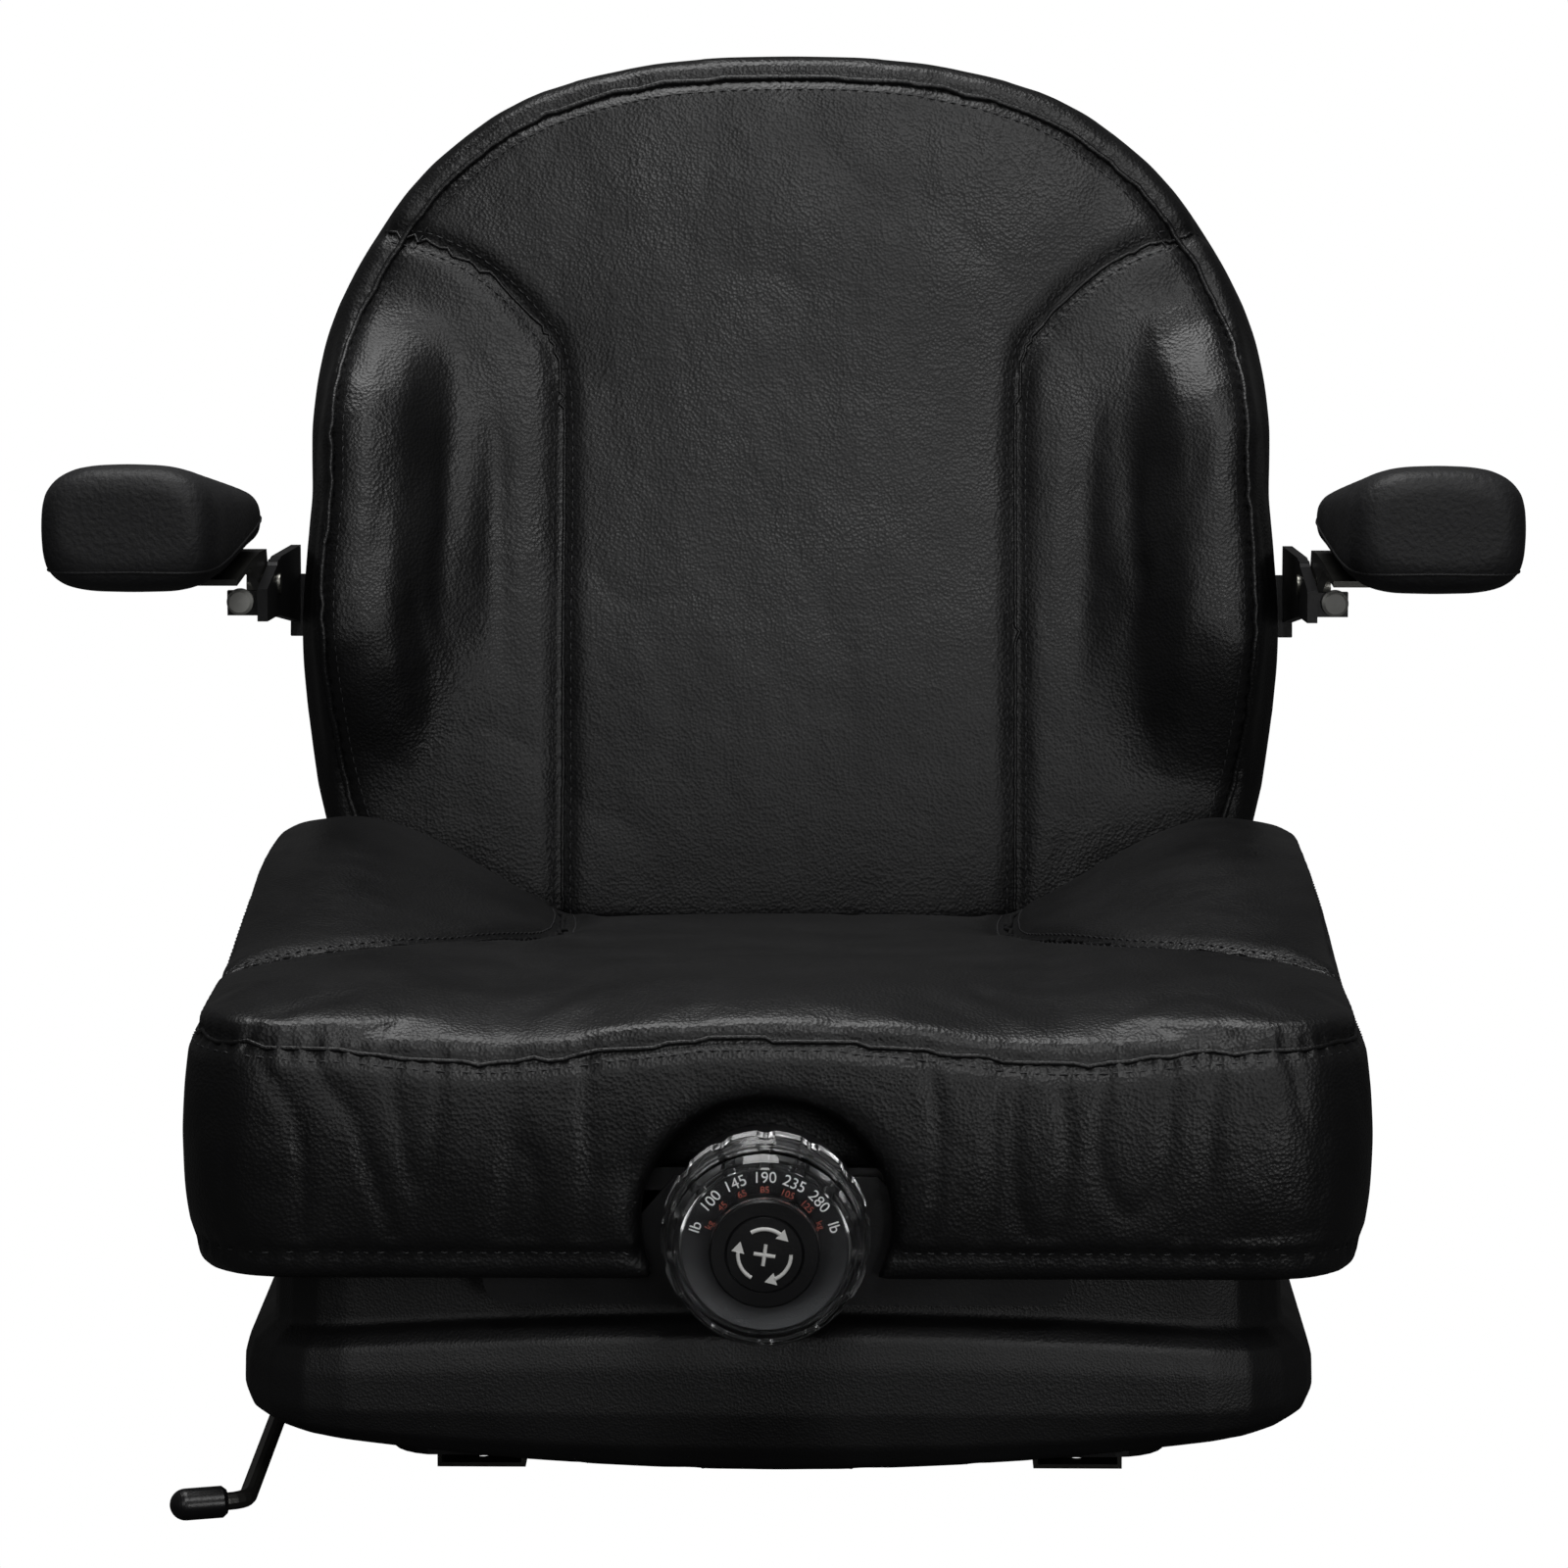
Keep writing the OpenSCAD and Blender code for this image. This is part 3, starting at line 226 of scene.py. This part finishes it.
def apply(obj, kind, **settings):
    activate(obj)
    modifier = obj.modifiers.new(kind.lower(), kind)
    for key, value in settings.items():
        setattr(modifier, key, value)
    bpy.ops.object.modifier_apply(modifier=modifier.name)


def skin(name, source, voxel, smoothing=5):
    """A fine, even copy of a CAD solid's surface."""
    obj = bpy.data.objects.new(name, node[source].data.copy())
    scene.collection.objects.link(obj)
    activate(obj)
    obj.data.remesh_voxel_size = voxel
    bpy.ops.object.voxel_remesh()
    apply(obj, "SMOOTH", factor=0.5, iterations=smoothing)
    return obj


def surface_of(obj):
    return BVHTree.FromPolygons([v.co for v in obj.data.vertices], [p.vertices for p in obj.data.polygons])


def curve_through(points, step=0.004):
    """Points of a smooth curve through a few given ones."""
    points = [Vector((*p, 0)[:3]) for p in points]
    ends = [2 * points[0] - points[1], *points, 2 * points[-1] - points[-2]]
    line = []
    for a, b, c, d in zip(ends, ends[1:], ends[2:], ends[3:]):
        count = max(2, round((c - b).length / step))
        for i in range(count):
            t = i / count
            line.append(0.5 * (2 * b + (c - a) * t + (2 * a - 5 * b + 4 * c - d) * t * t + (3 * b - a - 3 * c + d) * t ** 3))
    return line + [points[-1]]


def land(tree, starts, direction):
    """Where rays from these points meet a surface, as (place, normal)."""
    hits = [tree.ray_cast(start, direction(start) if callable(direction) else direction) for start in starts]
    return [(hit[0], hit[1]) for hit in hits if hit[0] is not None]


def unbroken(hits, jump=0.014):
    """Splits a line of hits where it jumps, as at a notch."""
    runs = [[hits[0]]]
    for hit in hits[1:]:
        if (hit[0] - runs[-1][-1][0]).length > jump:
            runs.append([])
        runs[-1].append(hit)
    return [run for run in runs if len(run) > 3]


def evenly(run, pitch):
    """Hits resampled at an even pitch along their line."""
    made, left = [], 0.0
    for (a, na), (b, nb) in zip(run, run[1:]):
        length = (b - a).length
        while left < length:
            t = left / length
            made.append((a.lerp(b, t), na.lerp(nb, t).normalized()))
            left += pitch
        left -= length
    return made


def tube(name, lines, radius, sides=2, closed=False):
    """Round cords along lines of points, as one mesh."""
    data = bpy.data.curves.new(name, "CURVE")
    data.dimensions, data.bevel_depth, data.bevel_resolution = "3D", radius, sides
    data.use_fill_caps = True
    for line in lines:
        spline = data.splines.new("POLY")
        spline.points.add(len(line) - 1)
        for point, place in zip(spline.points, line):
            point.co = (*place, 1)
        spline.use_cyclic_u = closed
    obj = bpy.data.objects.new(name, data)
    scene.collection.objects.link(obj)
    activate(obj)
    bpy.ops.object.convert(target="MESH")
    return bpy.context.view_layer.objects.active


def stitches(name, runs):
    """Short raised threads along seams."""
    lines = []
    for run in runs:
        points = evenly(run, STITCH_PITCH)
        for (a, na), (b, nb) in zip(points, points[1:]):
            end = a.lerp(b, STITCH_LENGTH / STITCH_PITCH)
            lines.append([a - na * THREAD, a.lerp(end, 0.5) + na * THREAD * 1.2, end - nb * THREAD])
    return tube(name, lines, THREAD, sides=1)


def shifted(runs, side):
    """The same seams moved sideways along their surface."""
    made = []
    for run in runs:
        line = []
        for (a, na), (b, _) in zip(run, run[1:]):
            line.append((a + (b - a).cross(na).normalized() * side, na))
        made.append(line)
    return made


def press(obj, runs, depth, width):
    """Draws a seam into its cushion."""
    points = [place for run in runs for place, _ in run]
    tree = kdtree.KDTree(len(points))
    for i, place in enumerate(points):
        tree.insert(place, i)
    tree.balance()
    normals = [v.normal.copy() for v in obj.data.vertices]
    for v, normal in zip(obj.data.vertices, normals):
        near = tree.find(v.co)[2]
        if near < width:
            v.co -= normal * depth * (1 - near / width) ** 2


def crease(obj, size, stretch, depth, share):
    """Ridged folds, as slack vinyl shows, as strong as share(place, normal) says."""
    normals = [v.normal.copy() for v in obj.data.vertices]
    for v, normal in zip(obj.data.vertices, normals):
        amount = share(v.co, normal)
        if amount > 0:
            place = Vector([c * s / size for c, s in zip(v.co, stretch)])
            ridge = max(0.0, 1 - 3.2 * abs(noise.noise(place)))
            v.co -= normal * depth * amount * ridge * ridge


def inflate(obj, held, runs, pressure=4.0, cap=0.005, frames=20):
    """A short cloth pass: pressure fills the cover between its seams, and no point moves more than cap."""
    start = [v.co.copy() for v in obj.data.vertices]
    points = [place for run in runs for place, _ in run]
    tree = kdtree.KDTree(len(points))
    for i, place in enumerate(points):
        tree.insert(place, i)
    tree.balance()
    pinned = [v.index for v in obj.data.vertices if held(v.co) or tree.find(v.co)[2] < 0.005]
    obj.vertex_groups.new(name="held").add(pinned, 1.0, "REPLACE")
    activate(obj)
    modifier = obj.modifiers.new("cloth", "CLOTH")
    cloth = modifier.settings
    cloth.vertex_group_mass = "held"
    cloth.quality, cloth.mass = 4, 0.3
    cloth.tension_stiffness, cloth.compression_stiffness, cloth.shear_stiffness = 25, 12, 8
    cloth.bending_stiffness = 0.6
    cloth.effector_weights.gravity = 0
    cloth.use_pressure = True
    cloth.uniform_pressure_force = pressure
    modifier.point_cache.frame_start, modifier.point_cache.frame_end = 1, frames
    for i in range(1, frames + 1):
        scene.frame_set(i)
    bpy.ops.object.modifier_apply(modifier=modifier.name)
    scene.frame_set(1)
    for v, home in zip(obj.data.vertices, start):
        moved = v.co - home
        if moved.length > cap:
            v.co = home + moved * (cap / moved.length)


# ---- Seat cushion ----
seat = skin("seat_cushion_cover", "seat_cushion", 0.006)
tree = surface_of(seat)
centre = Vector(((seat_lo.x + seat_hi.x) / 2, (seat_lo.y + seat_hi.y) / 2, 0))
OUT = [Vector((math.sin(a), -math.cos(a), 0)) for a in (math.radians(i * 1.5 - 180) for i in range(241))]


def boxing_seam(height):
    """A seam round the side wall; height(rim height) is where it runs."""
    starts = []
    for u in OUT:
        far = centre + u * 0.6 + Vector((0, 0, (seat_lo.z + seat_hi.z) / 2))
        wall = tree.ray_cast(far, -u)[0]
        rim = tree.ray_cast(wall - u * 0.016 + Vector((0, 0, 0.4)), Vector((0, 0, -1)))[0]
        starts.append(Vector((far.x, far.y, height(rim.z))))
    return unbroken(land(tree, starts, lambda p: (centre - Vector((p.x, p.y, 0))).normalized()), 0.03)


top_seam = boxing_seam(lambda rim: rim - 0.011)
bottom_seam = boxing_seam(lambda rim: seat_lo.z + 0.013)
wing_seams = []
for side in (-1, 1):
    line = [Vector((side * p.x, p.y, 0.5)) for p in curve_through(WING_SEAM)]
    wing_seams.append(land(tree, line, Vector((0, 0, -1))))
seat_seams = top_seam + bottom_seam + wing_seams
WALL = 0.017


def under_seat(p):
    inside = seat_lo.x + WALL < p.x < seat_hi.x - WALL and seat_lo.y + WALL < p.y < seat_hi.y - WALL
    near_knob = abs(p.x - KNOB.x) < 0.075 and p.y < seat_lo.y + 0.03 and p.z < KNOB.z + 0.07
    return p.z < seat_lo.z + 0.01 or (inside and p.z < seat_lo.z + 0.08) or near_knob


inflate(seat, under_seat, seat_seams)
apply(seat, "SUBSURF", levels=1, render_levels=1)
crease(seat, 0.05, (1.9, 1.0, 0.55), 0.0013,
       lambda p, n: max(0, -n.y) * (seat_lo.z + 0.02 < p.z) * (abs(p.x) > 0.06))
crease(seat, 0.085, (1.0, 0.8, 1.0), 0.0008, lambda p, n: max(0, n.z) * (p.z > seat_lo.z + 0.08))
press(seat, top_seam, 0.0042, 0.011)
press(seat, bottom_seam, 0.003, 0.009)
press(seat, wing_seams, 0.0045, 0.013)
settle(seat, vinyl, "seat_cushion")
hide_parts("seat_cushion")

tree = surface_of(seat)


def onto(runs, lift=0.0):
    """Seams laid again on the finished surface."""
    made = []
    for run in runs:
        found = [tree.find_nearest(place)[:2] for place, _ in run]
        made.append([(place + normal * lift, normal) for place, normal in found])
    return made


welts = onto(top_seam + wing_seams, WELT * 0.3)
settle(tube("seat_welts", [[p for p, _ in run] for run in welts], WELT * 0.7), vinyl, "seat_cushion")
rows = onto(shifted(top_seam, 0.0045) + shifted(wing_seams, 0.0045) + shifted(wing_seams, -0.0045) + bottom_seam)
settle(stitches("seat_stitches", rows), thread, "seat_cushion")

# ---- Backrest ----
back = skin("back_cushion_cover", "back_cushion", 0.0055)
tree = surface_of(back)


def back_point(x, v, out):
    return BACK_BASE + Vector((x, 0, 0)) + BACK_UP * v + BACK_FRONT * out


def back_loop(share):
    """A line round the front face, at a share of the way out to the edge."""
    starts = []
    middle = back_point(0, BACK_MIDDLE, -0.03)
    for i in range(241):
        a = math.radians(1.5 * i)
        u = Vector((math.cos(a), 0, 0)) + BACK_UP * math.sin(a)
        reach = (tree.ray_cast(middle + u * 0.6, -u)[0] - middle).length
        starts.append(middle + u * reach * share + BACK_FRONT * 0.3)
    return land(tree, starts, -BACK_FRONT)


outline = [back_loop(0.945)]
outline_stitch = [back_loop(0.917)]
long_seams = []
for side in (-1, 1):
    starts = [back_point(side * p.x, p.y, 0.3) for p in curve_through(LONG_SEAM)]
    long_seams.append(land(tree, starts, -BACK_FRONT))
behind = BACK_BASE - BACK_FRONT * 0.035
inflate(back, lambda p: (p - behind).dot(BACK_FRONT) < 0, outline + long_seams, pressure=2.5, cap=0.003)
apply(back, "SUBSURF", levels=1, render_levels=1)
crease(back, 0.09, (1.0, 1.0, 0.7), 0.0006, lambda p, n: max(0, -n.y))
press(back, outline, 0.0035, 0.010)
press(back, long_seams, 0.0042, 0.013)
settle(back, vinyl, "back_cushion")
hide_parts("back_cushion")
tree = surface_of(back)
piping = onto(outline, WELT * 0.5)
settle(tube("back_piping", [[p for p, _ in piping[0][:-1]]], WELT, closed=True), vinyl, "back_cushion")
welts = onto(long_seams, WELT * 0.2)
settle(tube("back_welts", [[p for p, _ in run] for run in welts], WELT * 0.6), vinyl, "back_cushion")
rows = onto(shifted(long_seams, 0.004) + shifted(long_seams, -0.004) + outline_stitch)
settle(stitches("back_stitches", rows), thread, "back_cushion")

# ---- Armrest pads: skin foam with a parting line ----
for side in ("left", "right"):
    source = "armrest_pad_" + side
    pad = skin("pad_" + side, source, 0.004, smoothing=3)
    apply(pad, "SUBSURF", levels=1, render_levels=1)
    lo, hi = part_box(source)
    tree = surface_of(pad)
    middle = (lo + hi) / 2
    rounds = []
    for i in range(181):
        a = math.radians(2 * i)
        u = Vector((math.cos(a), math.sin(a), 0))
        along = middle + Vector((0, u.y * (hi.y - lo.y) * 0.36, 0))
        under = tree.ray_cast(Vector((along.x, along.y, lo.z - 0.1)), Vector((0, 0, 1)))[0]
        level = (under.z if under else lo.z) + 0.013
        hit = tree.ray_cast(Vector((along.x, along.y, level)) + u * 0.3, -u)
        if hit[0] is not None:
            rounds.append((hit[0], hit[1]))
    line = tube("parting_line_" + side, [[p for p, _ in rounds[:-1]]], 0.0007, closed=True)
    settle(line, skin_foam, source)
    settle(pad, skin_foam, source)
    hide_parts(source)

# ---- Boot and springs ----
boot = skin("boot_skirt", "boot", 0.0022, smoothing=3)
settle(boot, rubber, "boot")
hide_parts("boot")
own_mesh(boot)
for side in ("left", "right"):
    source = "spring_" + side
    lo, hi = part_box(source)
    spring = bpy.data.objects.new("coil_" + side, node[source].data.copy())
    scene.collection.objects.link(spring)
    apply(spring, "WELD", merge_threshold=0.00005)
    bpy.ops.object.shade_smooth()
    paint(spring, zinc)
    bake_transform(spring)
    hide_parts(source)


# ---- Knob print ----
def lettering(name, words, radius, size, first, step, mat, depth):
    """Words round the dial; angles run clockwise from its top."""
    parts = []
    for i, word in enumerate(words):
        a = math.radians(first + step * i)
        bpy.ops.object.text_add()
        text = bpy.context.object
        text.data.body, text.data.size, text.data.extrude = word, size, 0.0001
        text.data.align_x = text.data.align_y = "CENTER"
        bpy.ops.object.convert(target="MESH")
        text = bpy.context.object
        spot = Vector((KNOB.x + radius * math.sin(a), depth, KNOB.z + radius * math.cos(a)))
        turn = Matrix.Rotation(a, 4, "Y") @ Matrix.Rotation(math.radians(90), 4, "X")
        text.data.transform(Matrix.Translation(spot) @ turn)
        parts.append(text)
    return joined(name, parts, mat)


def joined(name, parts, mat):
    activate(parts[0])
    for part in parts[1:]:
        part.select_set(True)
    if len(parts) > 1:
        bpy.ops.object.join()
    obj = bpy.context.view_layer.objects.active
    obj.name = name
    paint(obj, mat)
    return obj


def arrow_head(radius, a, size, depth, turn):
    bpy.ops.mesh.primitive_circle_add(vertices=3, radius=size, fill_type="NGON")
    head = bpy.context.object
    apply(head, "SOLIDIFY", thickness=0.0003, offset=0)
    spot = Vector((KNOB.x + radius * math.sin(a), depth, KNOB.z + radius * math.cos(a)))
    spin = Matrix.Rotation(a + turn, 4, "Y") @ Matrix.Rotation(math.radians(90), 4, "X")
    head.data.transform(Matrix.Translation(spot) @ spin)
    return head


face = dial_lo.y - 0.0004
lb = lettering("dial_pounds", ["lb", "100", "145", "190", "235", "280", "lb"], 0.0308, 0.0068, -72, 24, white_print, face)
kg = lettering("dial_kilograms", ["kg", "45", "65", "85", "105", "125", "kg"], 0.0256, 0.0042, -66, 22, red_print, face)
for print_piece in (lb, kg):
    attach(print_piece, node["weight_dial"]["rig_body"])
cap_face = hub_lo.y - 0.0003
TILT = math.radians(8)
parts = []
for i in range(3):
    a0 = TILT + math.radians(120 * i - 38)
    arc = [a0 + math.radians(66) * t / 12 for t in range(13)]
    line = [Vector((KNOB.x + 0.0112 * math.sin(a), cap_face, KNOB.z + 0.0112 * math.cos(a))) for a in arc]
    parts += [tube("arrow_arc", [line], 0.0009, sides=1),
              arrow_head(0.0112, arc[-1] + 0.14, 0.0032, cap_face, math.radians(90))]
for turn in (0, 90):
    spin = Matrix.Rotation(TILT + math.radians(turn), 4, "Y")
    ends = [spin @ Vector((0, 0, s * 0.0046)) + Vector((KNOB.x, cap_face, KNOB.z)) for s in (-1, 1)]
    parts.append(tube("plus_bar", [ends], 0.0009, sides=1))
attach(joined("turn_mark", parts, white_print), node["knob_hub"]["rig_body"])
pointer = joined("pointer", [arrow_head(0.0372, 0, 0.0028, dial_hi.y - 0.002, math.radians(180))], white_print)
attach(pointer, node["knob_housing"]["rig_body"])

# ---- Stage, lights and camera ----
white = bpy.data.materials.new("backdrop")
white.use_nodes = True
tree = white.node_tree
tree.nodes.clear()
seen = add(tree, "ShaderNodeLightPath").outputs["Is Camera Ray"]
glow = add(tree, "ShaderNodeEmission", {"Color": (1, 1, 1, 1), "Strength": 1.0}).outputs[0]
matt = add(tree, "ShaderNodeBsdfDiffuse", {"Color": (0.06, 0.06, 0.06, 1)}).outputs[0]
mixed = add(tree, "ShaderNodeMixShader", {0: seen, 1: matt, 2: glow}).outputs[0]
add(tree, "ShaderNodeOutputMaterial", {"Surface": mixed})
bpy.ops.mesh.primitive_plane_add(size=12, location=(0, 0, cad_lo.z - 0.004))
floor = bpy.context.object
floor.name = "floor"
paint(floor, white)
floor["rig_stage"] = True

world = scene.world or bpy.data.worlds.new("world")
scene.world = world
world.use_nodes = True
tree = world.node_tree
tree.nodes.clear()
path = add(tree, "ShaderNodeLightPath")
either = add(tree, "ShaderNodeMath", {0: path.outputs["Is Camera Ray"], 1: path.outputs["Is Transmission Ray"]},
             operation="MAXIMUM").outputs[0]
level = add(tree, "ShaderNodeMapRange", {0: either, 3: 0.06, 4: 1.0}).outputs[0]
shade = add(tree, "ShaderNodeBackground", {"Color": (1, 1, 1, 1), "Strength": level}).outputs[0]
add(tree, "ShaderNodeOutputWorld", {"Surface": shade})

AIM = Vector((0, 0, 0.3))
for name, spot, size, power in [
    ("key", (0.45, -2.1, 2.2), 1.0, 17), ("fill", (-0.5, -2.6, 1.0), 1.0, 4),
    ("top", (-0.2, 0.1, 2.4), 1.2, 26), ("low_right", (0.9, -2.4, 0.3), 0.5, 5),
]:
    bpy.ops.object.light_add(type="AREA", location=spot)
    lamp = bpy.context.object
    lamp.name = name
    lamp.data.size, lamp.data.energy = size, power
    lamp.rotation_euler = (AIM - lamp.location).to_track_quat("-Z", "Y").to_euler()

bpy.ops.object.camera_add(location=(0.036, -2.78, 0.715), rotation=(math.radians(81.3), 0, math.radians(0.74)))
camera = bpy.context.object
camera.data.lens, camera.data.sensor_width = 137, 36
scene.camera = camera
scene.view_settings.view_transform = "Standard"

lo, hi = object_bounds()
